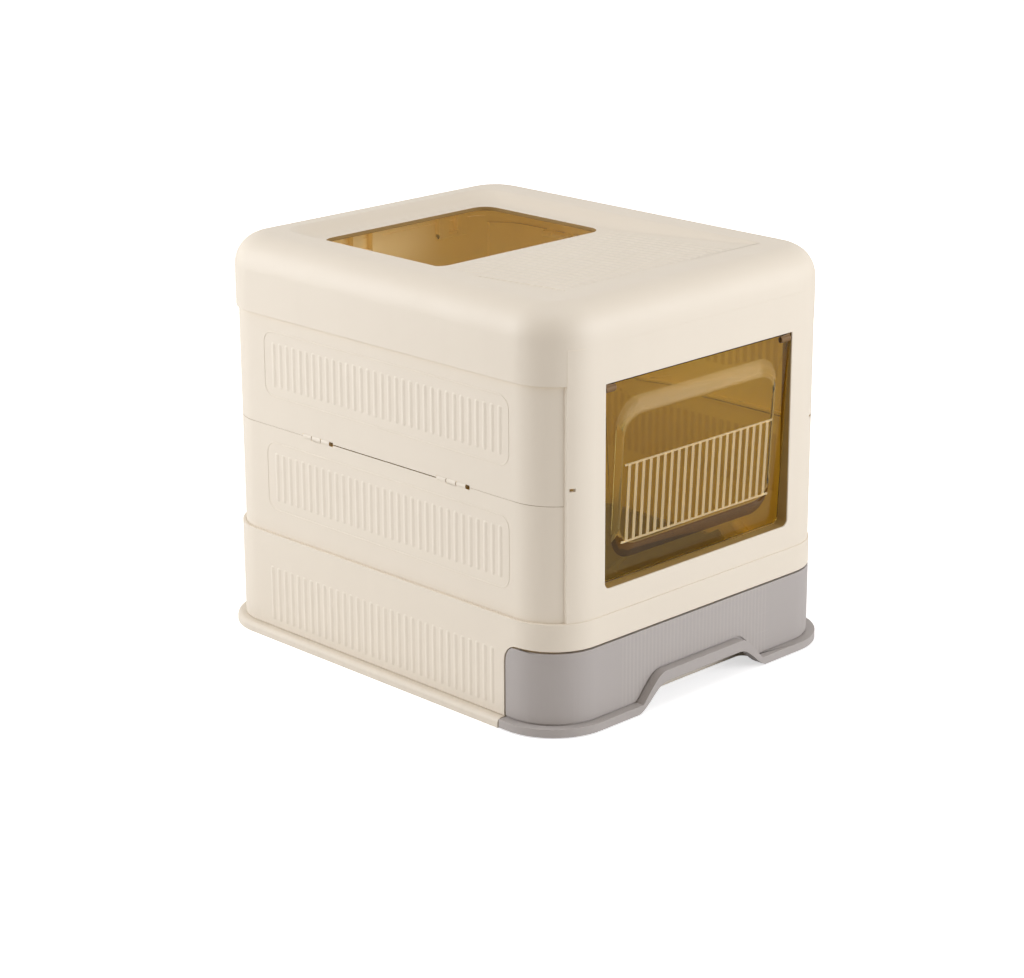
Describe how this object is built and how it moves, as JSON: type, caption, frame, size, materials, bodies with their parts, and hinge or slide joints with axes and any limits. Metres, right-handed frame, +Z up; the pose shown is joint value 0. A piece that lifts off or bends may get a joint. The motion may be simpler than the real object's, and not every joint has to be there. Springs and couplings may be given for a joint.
{
  "type": "drawer litter box",
  "caption": "Enclosed litter box with folding walls, a swinging clear front flap, a roof opening with a ridged tread and a pull-out litter drawer.",
  "frame": {"origin": "on the floor under the middle of the box", "axes": "+X to the right seen from the front, +Y to the rear, +Z up; the drawer pulls out towards -Y"},
  "size_m": [0.37, 0.445, 0.365],
  "materials": {
    "cream_plastic": "fine satin moulded polypropylene, cream",
    "grey_plastic": "fine satin moulded polypropylene, warm grey",
    "amber_plastic": "clear tinted polystyrene, polished",
    "pin_steel": "drawn steel wire"
  },
  "bodies": {
    "housing": {"base": "cream_plastic", "left_lower_panel": "cream_plastic", "left_upper_panel": "cream_plastic", "right_lower_panel": "cream_plastic", "right_upper_panel": "cream_plastic", "front_panel": "cream_plastic", "hood": "cream_plastic", "roof_tread": "cream_plastic", "left_base_pins": "pin_steel", "right_base_pins": "pin_steel", "left_fold_pins": "pin_steel", "right_fold_pins": "pin_steel", "left_hood_pins": "pin_steel", "right_hood_pins": "pin_steel", "front_panel_pins": "pin_steel", "rear_panel_pins": "pin_steel"},
    "drawer": {"litter_drawer": "grey_plastic"},
    "flap": {"front_flap": "amber_plastic", "flap_pins": "pin_steel"},
    "rear_wall": {"rear_panel": "cream_plastic"}
  },
  "joints": [
    {"name": "drawer_slide", "type": "slide", "parent": "housing", "child": "drawer", "axis": [0, -1, 0], "range_m": [0, 0.36]},
    {"name": "flap_swing", "type": "hinge", "parent": "housing", "child": "flap", "pos_m": [0, -0.2105, 0.291], "axis": [1, 0, 0], "range_deg": [-75, 75]},
    {"name": "rear_fold", "type": "hinge", "parent": "housing", "child": "rear_wall", "pos_m": [0, 0.2076, 0.317], "axis": [-1, 0, 0], "range_deg": [0, 85]}
  ]
}
